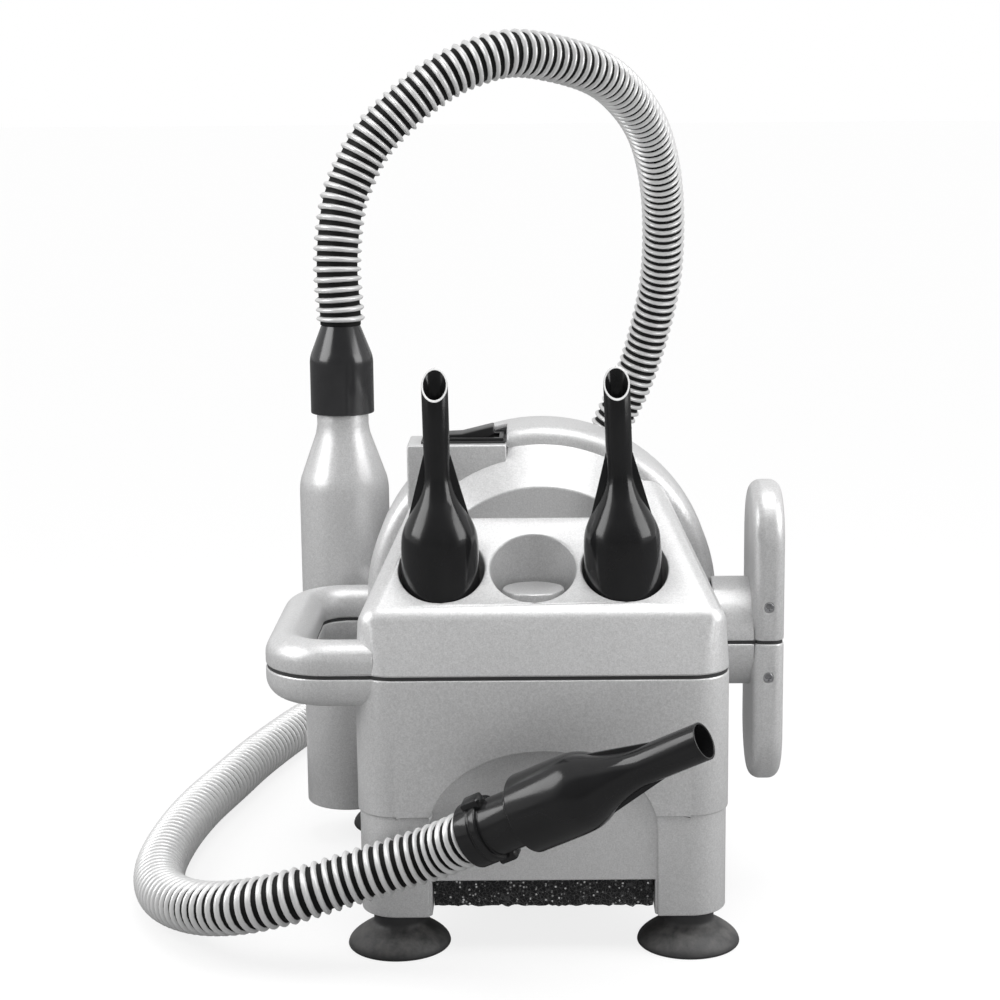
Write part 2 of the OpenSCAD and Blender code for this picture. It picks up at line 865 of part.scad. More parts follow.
module straight_nozzle() {
    z0 = connector_l - spigot_l;
    cone0 = z0 + 37;
    cone1 = z0 + 70;
    z1 = z0 + straight_l;
    r0 = large_d / 2;
    r1 = tip_d / 2;
    color(black_c) place() at_hose_end() difference() {
        union() {
            rotate_extrude() polygon([
                [0, z0], [r0, z0], [r0, cone0], [r0 - 2, cone0 + 8], [r1 + 5, cone1 - 14],
                [r1 + 1, cone1], [r1, cone1 + 8], [r1, z1], [0, z1]
            ]);
            nozzle_web(r0 - 1, cone0 - 8, r1, cone1 + 20);
        }
        rotate_extrude() polygon([
            [0, z0 - over], [r0 - nozzle_wall, z0 - over], [r0 - nozzle_wall, z0 + spigot_l + over],
            [r0 - nozzle_wall - 3, cone0], [r1 - nozzle_wall + 1, cone1 - 8], [r1 - nozzle_wall, cone1],
            [r1 - nozzle_wall, z1 + over], [0, z1 + over]
        ]);
    }
}

web_t = 2.5;

// Thin webs on both sides between a nozzle's shoulder and its tube
module nozzle_web(r0, z0, r1, z1) {
    translate([0, web_t / 2, 0]) rotate([90, 0, 0]) linear_extrude(web_t)
        polygon([[-r0, z0], [r0, z0], [r1, z1], [-r1, z1]]);
}

// Stored nozzles

collar_h = 9;
base_h = 50;
shoulder_h = 34;
web_h = 52;
cut_h = 19;

module nozzle_place(i, lean) {
    lift = collar_d / 2 * sin(lean) + touch;
    translate([pocket_xs[i], pocket_y, pocket_z + lift]) rotate([0, -lean, 0]) children();
}

module stored_nozzle() {
    r0 = base_d / 2;
    r1 = tube_d / 2;
    b0 = base_bore / 2;
    b1 = r1 - 2.5;
    z1 = base_h + shoulder_h;
    difference() {
        union() {
            rotate_extrude() polygon([
                [0, 0], [collar_d / 2, 0], [collar_d / 2, collar_h], [r0, collar_h + 1], [r0, base_h],
                [r0 - 1, base_h + 5], [r0 - 6, base_h + 16], [r1 + 3, z1 - 8], [r1 + 0.5, z1],
                [r1, z1 + 8], [r1, nozzle_h], [0, nozzle_h]
            ]);
            nozzle_web(r0 - 1.5, base_h, r1, base_h + web_h);
        }
        rotate_extrude() polygon([
            [0, -over], [b0, -over], [b0, base_h - 2], [b1 + 3, z1 - 12], [b1, z1], [b1, nozzle_h + over],
            [0, nozzle_h + over]
        ]);
        along_x(-big / 2, 0, nozzle_h) linear_extrude(big)
            polygon([[r1, 0], [-r1, -cut_h], [-2 * r1, -cut_h], [-2 * r1, over], [r1, over]]);
    }
}

module left_nozzle() {
    color(black_c) place() nozzle_place(0, lean_left) stored_nozzle();
}

module right_nozzle() {
    color(black_c) place() nozzle_place(2, lean_right) stored_nozzle();
}

// Switch

strip_t = 1.5;
strip_w = 28;
bezel_t = 2;
pin_d = 3;
pin_gap = 0.05;
pivot_drop = 2;
pivot_z = box_z - pivot_drop;
switch_depth = 26;
switch_room = 12;

module frame_plate(l, w, h) {
    difference() {
        plate(l, w, h);
        translate([0, 0, -over]) plate(rocker_room_l, rocker_room_w, h + 2 * over);
    }
}

module switch_gasket() {
    color(rubber_c) place() at_switch(box_z) frame_plate(rocker_room_l + 8, strip_w, strip_t);
}

module switch_bezel() {
    color(black_c) place() at_switch(box_z + strip_t) frame_plate(rocker_room_l + 6, strip_w - 2, bezel_t);
}

module switch_body() {
    color(black_c) place() at_switch(box_z) difference() {
        translate([0, 0, -switch_depth]) plate(switch_l, switch_w, switch_depth);
        translate([0, 0, -switch_room]) plate(rocker_room_l, rocker_room_w, switch_room + over);
        along_y(0, -switch_w, -pivot_drop) cylinder(d = pin_d + 2 * pin_gap, h = 2 * switch_w);
    }
}

module switch_rocker() {
    l = rocker_l / 2;
    pin_l = rocker_room_w + switch_wall;
    color(black_c) place() at_switch(pivot_z) rotate([0, -rocker_tilt, 0]) {
        translate([0, rocker_w / 2, 0]) rotate([90, 0, 0]) linear_extrude(rocker_w)
            polygon([[-l, 4.5], [-l, 9.5], [0, 7.5], [l, 9.5], [l, 4.5], [6, -4], [-6, -4]]);
        along_y(0, -pin_l / 2, 0) cylinder(d = pin_d, h = pin_l);
    }
}

// Motor, along the drum's axis

gasket_t = 3;
shroud_y = bulkhead_y - gasket_t - shroud_l;
shroud_wall = 1.5;
shroud_id = shroud_d - 2 * shroud_wall;
flange_lip = 8;
eye_d = 50;
motor_y = bulkhead_y + bulkhead_t;
motor_wall = 2.5;
motor_plate = 3;
motor_id = motor_d - 2 * motor_wall;
motor_end = motor_y + motor_l;
seat_d = bearing_d + 6;
impeller_l = 14;
front_impeller_y = shroud_y + 4;
diffuser_t = 3;
diffuser_y = front_impeller_y + impeller_l + 2.5;
rear_impeller_y = diffuser_y + diffuser_t + 2.5;
core_l = 38;
core_y = motor_y + 14;
armature_d = 50;
air_gap = 1;
commutator_d = 28;
commutator_l = 12;
commutator_y = core_y + core_l + 5;
brush_w = 6;
brush_y = commutator_y + commutator_l / 2;
shaft_over = 4;

module on_axis(y) {
    along_y(0, y, drum_z) children();
}

// A plate across the casing, drawn in X and Z
module slice(y, t) {
    translate([0, y + t, 0]) rotate([90, 0, 0]) linear_extrude(t) children();
}

module motor_bulkhead() {
    hw = half_w - wall - band_in - touch;
    color(steel_c) place() difference() {
        slice(bulkhead_y, bulkhead_t) {
            translate([-hw, floor_z]) square([2 * hw, drum_z - floor_z]);
            intersection() {
                translate([0, drum_z]) circle(drum_r - wall - touch);
                translate([-hw, floor_z]) square([2 * hw, big]);
            }
        }
        on_axis(bulkhead_y - over) cylinder(d = motor_id, h = bulkhead_t + 2 * over);
    }
}

module motor_gasket() {
    color(rubber_c) place() on_axis(bulkhead_y - gasket_t)
        ring(shroud_d + 2 * flange_lip, shroud_id, gasket_t);
}

module fan_shroud() {
    color(steel_c) place() {
        on_axis(shroud_y) ring(shroud_d, eye_d, shroud_wall);
        on_axis(shroud_y) ring(shroud_d, shroud_id, shroud_l);
        on_axis(shroud_y + shroud_l - shroud_wall) ring(shroud_d + 2 * flange_lip, shroud_id, shroud_wall);
    }
}

module diffuser_plate() {
    color(steel_c) place() on_axis(diffuser_y) ring(shroud_id - 2 * touch, eye_d, diffuser_t);
}

module impeller(y) {
    disc = 1.5;
    vanes = 8;
    hub_d = shaft_d + 12;
    color(steel_c) place() on_axis(y) difference() {
        union() {
            cylinder_from(0, impeller_l, hub_d);
            ring(impeller_d, eye_d - 4, disc);
            cylinder_from(impeller_l - disc, impeller_l, impeller_d);
            for (i = [0:vanes - 1]) rotate([0, 0, 360 * i / vanes])
                translate([hub_d / 2 + 4, 0, disc / 2])
                    cube([impeller_d / 2 - hub_d / 2 - 5, disc, impeller_l - disc]);
        }
        translate([0, 0, -over]) cylinder(d = shaft_d, h = impeller_l + 2 * over);
    }
}

module front_impeller() { impeller(front_impeller_y); }
module rear_impeller() { impeller(rear_impeller_y); }

module motor_frame() {
    color(steel_c) place() difference() {
        union() {
            on_axis(motor_y) cylinder(d = motor_d + 24, h = motor_plate);
            on_axis(motor_y) ring(motor_d, motor_id, motor_l);
            on_axis(motor_y) cylinder(d = seat_d, h = bearing_w);
            on_axis(motor_end - bearing_w) cylinder(d = seat_d, h = bearing_w);
            on_axis(motor_end - motor_plate) cylinder(d = motor_d - motor_wall, h = motor_plate);
        }
        on_axis(motor_y - over) cylinder(d = bearing_d, h = bearing_w + over);
        on_axis(motor_end - bearing_w) cylinder(d = bearing_d, h = bearing_w + over);
        for (i = [0:5], y = [motor_y, motor_end - motor_plate]) along_y(0, y - over, drum_z)
            rotate([0, 0, 60 * i]) translate([motor_d / 3.2, 0, 0])
                cylinder(d = 14, h = motor_plate + 2 * over);
        for (s = [-1, 1]) translate([s * motor_d / 2, brush_y, drum_z])
            cube([motor_d / 2, brush_w + 8 + 2 * touch, brush_w + 8 + 2 * touch], center = true);
    }
}

module stator() {
    winding = 3.5;
    bore = armature_d + 2 * air_gap;
    color(copper_c) place() {
        on_axis(core_y) ring(motor_id, bore, core_l);
        on_axis(core_y - winding) ring(motor_id - 16, bore + 6, core_l + 2 * winding);
    }
}

module rotor_shaft() {
    y0 = front_impeller_y - 2;
    color(steel_c) place() on_axis(y0) cylinder(d = shaft_d, h = motor_end + shaft_over - y0);
}

module armature() {
    color(copper_c) place() on_axis(core_y - 3) difference() {
        union() {
            cylinder_from(3, core_l + 3, armature_d);
            cylinder_from(0, core_l + 6, armature_d - 8);
        }
        translate([0, 0, -over]) cylinder(d = shaft_d, h = core_l + 8);
    }
}

module commutator() {
    color(copper_c) place() on_axis(commutator_y) ring(commutator_d, shaft_d, commutator_l);
}

module bearing(y) {
    color(steel_c) place() on_axis(y) ring(bearing_d, shaft_d + 2 * shaft_gap, bearing_w);
}

module front_bearing() { bearing(motor_y); }
module rear_bearing() { bearing(motor_end - bearing_w); }

brush_x0 = commutator_d / 2 + 0.3;
holder_x0 = commutator_d / 2 + 3;
holder_x1 = motor_d / 2 + 6;

module brush_bar(x0, x1, w) {
    for (s = [0, 1]) mirror([s, 0, 0])
        block(x0, x1, brush_y - w / 2, brush_y + w / 2, drum_z - w / 2, drum_z + w / 2);
}

module brush_holders() {
    color(black_c) place() difference() {
        brush_bar(holder_x0, holder_x1, brush_w + 8);
        brush_bar(0, holder_x1 - 3, brush_w);
    }
}

module carbon_brushes() {
    color(rubber_c) place() brush_bar(brush_x0, holder_x1 - 12, brush_w - 2 * touch);
}

module rear_motor_mount() {
    color(rubber_c) place() on_axis(motor_end) ring(seat_d + 18, seat_d, rear_in - motor_end);
}

liner_t = 8;

module acoustic_liner() {
    l = body_d - corner_r - 4 - motor_y;
    r0 = drum_r - wall / cos(drum_taper) - touch;
    r1 = r0 - l * tan(drum_taper);
    color(foam_c) place() on_axis(motor_y) rotate([0, 0, 220]) rotate_extrude(angle = 100)
        polygon([[r0 - liner_t, touch], [r0, touch], [r1, l], [r1 - liner_t, l]]);
}

module terminal_block() {
    color(black_c) place() difference() {
        block(30, 90, motor_y + 30, motor_y + 52, floor_z, floor_z + 18);
        for (x = [40:12:80]) translate([x, motor_y + 41, floor_z + 8]) cylinder(d = 5, h = big);
    }
}

module cord_inlet() {
    color(black_c) place() {
        along_y(inlet_x, rear_in - 3, inlet_z) ring(inlet_d + 8, inlet_d - 6, 3);
        along_y(inlet_x, rear_in, inlet_z) ring(inlet_d, inlet_d - 6, wall);
    }
}

// Fasteners

tie_dz = 22.6;
tie_y = stem_y - flange_d / 2 + wall;
tie_t = 3;
tie_screw_d = 3;
tie_head_d = 6;
tie_head_t = 1.4;

module at_tie_screws() {
    for (s = [-1, 1]) along_y(flange_x0 + flange_t / 2, tie_y - wall, handle_z + s * tie_dz) children();
}

module tie_holes() {
    at_tie_screws() {
        cylinder(d = tie_screw_d, h = wall + over);
        translate([0, 0, -over]) cylinder(d = tie_head_d, h = tie_head_t + over);
    }
}

module flange_tie() {
    x = flange_x0 + flange_t / 2;
    color(steel_c) place() difference() {
        intersection() {
            block(x - 5, x + 5, tie_y, tie_y + tie_t, handle_z - tie_dz - 8, handle_z + tie_dz + 8);
            cord_wrap(wall);
        }
        at_tie_screws() cylinder(d = tie_screw_d, h = wall + tie_t + over);
    }
}

module flange_screws() {
    color(steel_c) place() at_tie_screws() {
        cylinder(d = tie_screw_d, h = wall + tie_t + 2);
        cylinder(d = tie_head_d, h = tie_head_t);
    }
}

module casing_screws() {
    z0 = seam_z - screw_boss_h;
    color(steel_c) place() at_screws() {
        cylinder_from(z0 - 3, z0, screw_d + 2.6);
        cylinder_from(z0, seam_top + cover_boss_h - wall, screw_d);
    }
}

lower_casing();
upper_cover();
seam_gasket();
foot_front_left();
foot_front_right();
foot_rear_left();
foot_rear_right();
foot_studs();
intake_filter();
filter_wires();
intake_grille();
outlet_riser();
riser_strap();
outlet_duct();
hose_cuff();
hose();
hose_connector();
straight_nozzle();
left_nozzle();
right_nozzle();
switch_gasket();
switch_bezel();
switch_rocker();
switch_body();
motor_bulkhead();
motor_gasket();
fan_shroud();
diffuser_plate();
motor_frame();
stator();
rotor_shaft();
armature();
commutator();
front_impeller();
rear_impeller();
front_bearing();
rear_bearing();
brush_holders();
carbon_brushes();
rear_motor_mount();
acoustic_liner();
terminal_block();
cord_inlet();
flange_tie();
flange_screws();
casing_screws();
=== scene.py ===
"""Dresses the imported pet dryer: silver moulded shells, ribbed hose, glossy nozzles, rubber feet and foam filter."""

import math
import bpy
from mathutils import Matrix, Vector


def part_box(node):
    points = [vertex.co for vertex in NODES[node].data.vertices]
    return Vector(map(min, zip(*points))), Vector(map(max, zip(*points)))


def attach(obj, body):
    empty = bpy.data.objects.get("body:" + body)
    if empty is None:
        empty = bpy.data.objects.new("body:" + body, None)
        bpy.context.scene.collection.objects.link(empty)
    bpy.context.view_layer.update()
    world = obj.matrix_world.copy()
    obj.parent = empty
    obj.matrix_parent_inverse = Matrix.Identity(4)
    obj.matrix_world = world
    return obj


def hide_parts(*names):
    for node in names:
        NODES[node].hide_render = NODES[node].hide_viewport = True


bl_info = {
    "name": "Pet Dryer Dressing",
    "version": (1, 0, 0),
    "blender": (4, 5, 0),
    "location": "View3D > Sidebar > Dryer",
    "description": "Builds the finished surfaces of a portable pet dryer around its packed model",
    "category": "Object",
}

import bmesh
import bpy
from mathutils import Matrix, Vector, noise

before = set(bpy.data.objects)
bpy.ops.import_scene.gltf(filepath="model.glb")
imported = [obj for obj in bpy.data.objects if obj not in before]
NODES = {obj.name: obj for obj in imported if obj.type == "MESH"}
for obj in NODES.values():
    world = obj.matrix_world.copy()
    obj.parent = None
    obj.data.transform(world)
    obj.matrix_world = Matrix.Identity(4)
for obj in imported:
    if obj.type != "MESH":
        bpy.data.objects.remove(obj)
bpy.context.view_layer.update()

MM = 0.001
# Where the casing's own middle, front face and floor lie in the frame
CASING_ORIGIN = Vector((8, -136.75, 0)) * MM

# The hose from the cuff over the top, down behind the casing, round the left side and up to the connector, in mm
HOSE_ROUTE = [
    (-135, 230, 360), (-135, 230, 368), (-136, 230, 384), (-136.5, 231, 402), (-134, 234, 430),
    (-128, 238, 453),
    (-109.5, 243, 486), (-72, 250, 519), (-40, 260, 535), (-10, 275, 540), (35, 312, 530),
    (62, 350, 512), (83, 395, 482), (94.5, 438, 436), (96, 472, 376), (87.5, 490, 327),
    (75, 500, 286), (62, 505, 258), (37, 512, 205), (6, 518, 150), (-33, 523, 98),
    (-78, 525, 55), (-122, 518, 29), (-158, 498, 19), (-181, 468, 17), (-196, 430, 17),
    (-217, 356, 17), (-230, 296, 17), (-243, 233, 17), (-250, 170, 17), (-250, 110, 17),
    (-239, 62, 19), (-215, 20, 26.3), (-185, -8, 36), (-150, -20, 47), (-110, -21, 60),
    (-66.9, -25.3, 75.3), (-40.6, -38, 90.6),
]
HOSE_END = Vector(HOSE_ROUTE[-1])
HOSE_AIM = (HOSE_END - Vector(HOSE_ROUTE[-2])).normalized()
# Where the stored nozzles, the feet and the screws in the flange's edge stand, in mm
POCKETS = {"left_nozzle": (-60.5, 46, 198.64, 1), "right_nozzle": (50.5, 46, 199.07, 2)}
FEET = {
    "foot_front_left": (-88.5, 25), "foot_front_right": (88.5, 25),
    "foot_rear_left": (-104, 248), "foot_rear_right": (96, 248),
}
FLANGE_SCREWS = ((142, 81, 150.9), (142, 81, 196.1))
RISER = (-135, 230, 0)
# How far the foam hangs down at its front, and how deep that lip is before the first wire, in metres
FOAM_SAG = 0.0058
FOAM_LIP = 0.0115


# Sizes and colours

def colour(name, description, default):
    return bpy.props.FloatVectorProperty(
        name=name, description=description, subtype="COLOR", size=3, min=0, max=1, default=default)


def length(name, description, default):
    return bpy.props.FloatProperty(
        name=name, description=description, unit="LENGTH", min=0, precision=5, default=default)


def factor(name, description, default):
    return bpy.props.FloatProperty(
        name=name, description=description, subtype="FACTOR", min=0, max=1, default=default)


class ShellLook(bpy.types.PropertyGroup):
    paint: colour("Silver", "Colour of the moulded shells", (0.53, 0.53, 0.532))
    fleck: colour("Fleck", "Colour of the bright flecks in the silver", (0.74, 0.74, 0.742))
    roughness: factor("Roughness", "Mean roughness of the shells", 0.36)
    metallic: factor("Metallic", "How much the silver paint reflects as a metal", 0.35)
    edge: length("Edge", "Width of the softened edges", 0.0012)
    arch: length("Arch edge", "Width of the soft edge of the recess in the front", 0.0032)
    leg: length("Leg edge", "Width of the soft edge under the legs", 0.0042)


class BlackLook(bpy.types.PropertyGroup):
    gloss: colour("Nozzle black", "Colour of the glossy nozzles", (0.010, 0.010, 0.0105))
    satin: colour("Cuff grey", "Colour of the satin cuff", (0.018, 0.018, 0.019))
    rubber: colour("Rubber", "Colour of the feet and gaskets", (0.036, 0.036, 0.037))
    dust: colour("Dust", "Colour of dust on rubber", (0.16, 0.155, 0.15))
    foam: colour("Foam", "Colour of the filter foam", (0.010, 0.010, 0.011))
    # The grey of the nozzles' slanted cut rims is a painted highlight on the black plastic.
    rim: colour("Cut rim", "Colour of the cut rims of the nozzles", (0.54, 0.54, 0.54))


class HoseMake(bpy.types.PropertyGroup):
    diameter: length("Diameter", "Outer diameter over the ribs", 0.033)
    groove: length("Groove", "Depth of the grooves between ribs", 0.0028)
    pitch: length("Pitch", "Distance between ribs", 0.0066)
    crest: colour("Crest", "Colour of the ribs' crests", (0.72, 0.72, 0.72))
    root: colour("Root", "Colour of the grooves", (0.004, 0.004, 0.004))


class StageSet(bpy.types.PropertyGroup):
    floor: colour("Floor", "Colour of the floor", (0.90, 0.90, 0.90))
    bounce: colour("Bounce", "Colour of the floor for the light that it throws back", (0.42, 0.42, 0.42))
    glow: factor("Floor glow", "Share of plain white in the floor that the camera sees", 0.82)
    sun: bpy.props.FloatProperty(name="Sun", description="Strength of the wide light overhead", default=1.35)
    left: bpy.props.FloatProperty(name="Left lamp", description="Power of the lamp on the left in watts", default=4.0)
    right: bpy.props.FloatProperty(name="Right lamp", description="Power of the lamp on the right in watts", default=3.8)
    fill: bpy.props.FloatProperty(name="Fill", description="Power of the lamp beside the camera in watts", default=3.4)
    front: bpy.props.FloatProperty(name="Front", description="Strength of the room before the object", default=0.22)
    dark: bpy.props.FloatProperty(
        name="Dark front", description="Strength of the room before the object in reflections", default=0.12)
    room: bpy.props.FloatProperty(name="Room", description="Strength of the room beside and behind it", default=0.68)


def looks(name):
    return getattr(bpy.context.scene, name)


# Node trees

class Graph:
    """Adds nodes to a tree and joins them by socket names."""

    def __init__(self, tree):
        self.tree = tree

    def add(self, kind, inputs=None, **settings):
        made = self.tree.nodes.new(kind)
        for key, value in settings.items():
            setattr(made, key, value)
        for key, value in (inputs or {}).items():
            if isinstance(value, bpy.types.NodeSocket):
                self.tree.links.new(value, made.inputs[key])
            else:
                made.inputs[key].default_value = value
        return made

    def maths(self, operation, a, b=0.0, clamp=False):
        made = self.tree.nodes.new("ShaderNodeMath")
        made.operation = operation
        made.use_clamp = clamp
        for i, value in enumerate((a, b)):
            if isinstance(value, bpy.types.NodeSocket):
                self.tree.links.new(value, made.inputs[i])
            else:
                made.inputs[i].default_value = value
        return made.outputs[0]

    def mix(self, mask, a, b):
        made = self.tree.nodes.new("ShaderNodeMix")
        made.data_type = "RGBA"
        for i, value in ((0, mask), (6, a), (7, b)):
            if isinstance(value, bpy.types.NodeSocket):
                self.tree.links.new(value, made.inputs[i])
            else:
                made.inputs[i].default_value = value if i == 0 else (*value, 1)
        return made.outputs[2]

    def ramp(self, value, low, high):
        return self.add("ShaderNodeMapRange", {"Value": value, "From Min": low, "From Max": high}).outputs["Result"]

    def noise(self, scale, detail=2.0, rough=0.5, vector=None):
        if vector is None:
            vector = self.add("ShaderNodeTexCoord").outputs["Object"]
        return self.add("ShaderNodeTexNoise", {
            "Vector": vector, "Scale": scale, "Detail": detail, "Roughness": rough}).outputs["Fac"]


def effect_group(name, takes, gives):
    """A shader node group with the named inputs and outputs, and its graph and end nodes."""
    tree = bpy.data.node_groups.new(name, "ShaderNodeTree")
    for label, kind, value in takes:
        made = tree.interface.new_socket(label, in_out="INPUT", socket_type=kind)
        made.default_value = value
    for label, kind in gives:
        tree.interface.new_socket(label, in_out="OUTPUT", socket_type=kind)
    graph = Graph(tree)
    return tree, graph, graph.add("NodeGroupInput").outputs, graph.add("NodeGroupOutput").inputs


VALUE, SHADE = "NodeSocketFloat", "NodeSocketColor"


def metal_flake():
    """Fine bright and dark flecks of silver paint over a slow cloud of tone."""
    tree, g, given, out = effect_group(
        "metal_flake",
        [("Base", SHADE, (0.5, 0.5, 0.5, 1)), ("Fleck", SHADE, (0.7, 0.7, 0.7, 1)), ("Scale", VALUE, 900.0)],
        [("Color", SHADE), ("Roughness Shift", VALUE), ("Height", VALUE)])
    fine = g.noise(given["Scale"], 2.0, 0.6)
    coarse = g.noise(g.maths("MULTIPLY", given["Scale"], 0.42), 1.0)
    cloud = g.noise(14.0, 2.0)
    flecks = g.ramp(fine, 0.35, 0.72)
    toned = g.maths("ADD", g.maths("MULTIPLY", flecks, 0.6), g.maths("MULTIPLY", g.ramp(coarse, 0.3, 0.75), 0.25))
    toned = g.maths("ADD", toned, g.maths("MULTIPLY", g.maths("SUBTRACT", cloud, 0.5), 0.25), True)
    links = g.tree.links
    links.new(g.mix(toned, given["Base"], given["Fleck"]), out["Color"])
    links.new(g.maths("MULTIPLY", g.maths("SUBTRACT", coarse, 0.5), 0.16), out["Roughness Shift"])
    links.new(g.maths("ADD", fine, coarse), out["Height"])
    return tree


def hand_smudge():
    """Slow smears and fine scratches that dull a glossy surface here and there."""
    tree, g, given, out = effect_group(
        "hand_smudge", [("Clean", VALUE, 0.15), ("Dull", VALUE, 0.35), ("Scale", VALUE, 40.0)],
        [("Roughness", VALUE), ("Height", VALUE)])
    smear = g.ramp(g.noise(given["Scale"], 4.0, 0.6), 0.38, 0.72)
    fine = g.noise(g.maths("MULTIPLY", given["Scale"], 22.0), 2.0)
    spread = g.maths("SUBTRACT", given["Dull"], given["Clean"])
    g.tree.links.new(g.maths("ADD", given["Clean"], g.maths("MULTIPLY", smear, spread)), out["Roughness"])
    g.tree.links.new(fine, out["Height"])
    return tree


def settled_dust():
    """Pale dust on faces that look upwards, broken up by noise."""
    tree, g, given, out = effect_group(
        "settled_dust", [("Base", SHADE, (0.02, 0.02, 0.02, 1)), ("Dust", SHADE, (0.2, 0.2, 0.2, 1)),
                         ("Amount", VALUE, 0.5)],
        [("Color", SHADE), ("Mask", VALUE)])
    normal = g.add("ShaderNodeNewGeometry").outputs["Normal"]
    up = g.add("ShaderNodeSeparateXYZ", {"Vector": normal}).outputs["Z"]
    lying = g.ramp(up, 0.05, 0.95)
    patch = g.ramp(g.noise(120.0, 5.0, 0.65), 0.35, 0.7)
    mask = g.maths("MULTIPLY", g.maths("MULTIPLY", lying, patch), given["Amount"], True)
    g.tree.links.new(g.mix(mask, given["Base"], given["Dust"]), out["Color"])
    g.tree.links.new(mask, out["Mask"])
    return tree


EFFECTS = {}


def effect(graph, maker, inputs):
    """Places one of the shared effects in a material with its own values."""
    if maker.__name__ not in EFFECTS:
        EFFECTS[maker.__name__] = maker()
    return graph.add("ShaderNodeGroup", inputs, node_tree=EFFECTS[maker.__name__])


def begin(name):
    material = bpy.data.materials.new(name)
    material.use_nodes = True
    material.node_tree.nodes.clear()
    graph = Graph(material.node_tree)
    return material, graph


def close(graph, inputs):
    shader = graph.add("ShaderNodeBsdfPrincipled", inputs)
    output = graph.add("ShaderNodeOutputMaterial")
    graph.tree.links.new(shader.outputs[0], output.inputs["Surface"])
    return shader


def bump(graph, height, distance, strength=1.0):
    return graph.add("ShaderNodeBump", {
        "Height": height, "Distance": distance, "Strength": strength}).outputs["Normal"]


def rgba(value):
    return (*value, 1)


def silver_material(name="silver_shell"):
    look = looks("dryer_shell")
    material, g = begin(name)
    flake = effect(g, metal_flake, {"Base": rgba(look.paint), "Fleck": rgba(look.fleck), "Scale": 1100.0})
    rough = g.maths("ADD", flake.outputs["Roughness Shift"], look.roughness)
    close(g, {
        "Base Color": flake.outputs["Color"], "Roughness": rough, "Metallic": look.metallic,
        "Normal": bump(g, flake.outputs["Height"], 0.00012, 0.55)})
    return material


def gloss_material(name, base, clean, dull, shine=0.5):
    material, g = begin(name)
    smudge = effect(g, hand_smudge, {"Clean": clean, "Dull": dull, "Scale": 45.0})
    tone = g.mix(g.ramp(g.noise(30.0, 3.0), 0.3, 0.8), base, tuple(c * 1.5 for c in base))
    close(g, {
        "Base Color": tone, "Roughness": smudge.outputs["Roughness"], "Specular IOR Level": shine,
        "Normal": bump(g, smudge.outputs["Height"], 0.00005, 0.3)})
    return material


def rubber_material(name, amount):
    look = looks("dryer_black")
    material, g = begin(name)
    dust = effect(g, settled_dust, {"Base": rgba(look.rubber), "Dust": rgba(look.dust), "Amount": amount})
    grain = g.noise(1400.0, 3.0, 0.6)
    rough = g.maths("ADD", 0.5, g.maths("MULTIPLY", dust.outputs["Mask"], 0.35))
    close(g, {
        "Base Color": dust.outputs["Color"], "Roughness": rough,
        "Normal": bump(g, grain, 0.0001, 0.5)})
    return material


def hose_material():
    look = looks("dryer_hose")
    material, g = begin("hose_wall")
    depth = g.add("ShaderNodeAttribute", attribute_name="crest").outputs["Fac"]
    worn = g.maths("ADD", depth, g.maths("MULTIPLY", g.maths("SUBTRACT", g.noise(260.0, 3.0), 0.5), 0.22))
    mask = g.ramp(worn, 0.16, 0.34)
    smudge = effect(g, hand_smudge, {"Clean": 0.30, "Dull": 0.46, "Scale": 60.0})
    rough = g.maths("ADD", smudge.outputs["Roughness"], g.maths("MULTIPLY", g.maths("SUBTRACT", 1.0, mask), 0.3))
    close(g, {
        "Base Color": g.mix(mask, look.root, look.crest), "Roughness": rough,
        "Specular IOR Level": 0.25,
        "Metallic": g.maths("MULTIPLY", mask, 0.35), "Normal": bump(g, smudge.outputs["Height"], 0.00004, 0.3)})
    return material


def foam_material():
    look = looks("dryer_black")
    material, g = begin("filter_foam")
    where = g.add("ShaderNodeTexCoord").outputs["Object"]
    fine = g.add("ShaderNodeTexVoronoi", {"Vector": where, "Scale": 520.0}).outputs
    chance = g.add("ShaderNodeSeparateColor", {"Color": fine["Color"]}).outputs[0]
    cells = g.add("ShaderNodeTexVoronoi", {"Vector": where, "Scale": 420.0}, feature="DISTANCE_TO_EDGE").outputs["Distance"]
    # Painted light on the foam: the struts are mixed a little towards pale grey, so the cells between them stay darker
    # as painted shade in the foam's depth, and random bright spots are painted glints; both also lower the roughness.
    strut = g.ramp(cells, 0.16, 0.02)
    painted_glint = g.maths("MULTIPLY", g.ramp(chance, 0.66, 0.90), g.ramp(fine["Distance"], 0.44, 0.20), True)
    shine = g.maths("MAXIMUM", g.maths("MULTIPLY", strut, 0.06), painted_glint)
    close(g, {
        "Base Color": g.mix(shine, look.foam, (0.85, 0.85, 0.85)),
        "Roughness": g.maths("SUBTRACT", 0.6, g.maths("MULTIPLY", shine, 0.35)),
        "Normal": bump(g, strut, 0.001, 0.8)})
    return material


def metal_material(name, base, rough):
    material, g = begin(name)
    where = g.add("ShaderNodeTexCoord").outputs["Object"]
    drawn = g.add("ShaderNodeMapping", {"Vector": where, "Scale": (60.0, 900.0, 900.0)}).outputs["Vector"]
    lines = g.noise(1.0, 3.0, 0.6, drawn)
    tone = g.mix(g.ramp(lines, 0.3, 0.7), tuple(c * 0.82 for c in base), base)
    close(g, {
        "Base Color": tone, "Metallic": 1.0,
        "Roughness": g.maths("ADD", rough, g.maths("MULTIPLY", g.maths("SUBTRACT", lines, 0.5), 0.2)),
        "Normal": bump(g, lines, 0.00003, 0.4)})
    return material


# Pieces

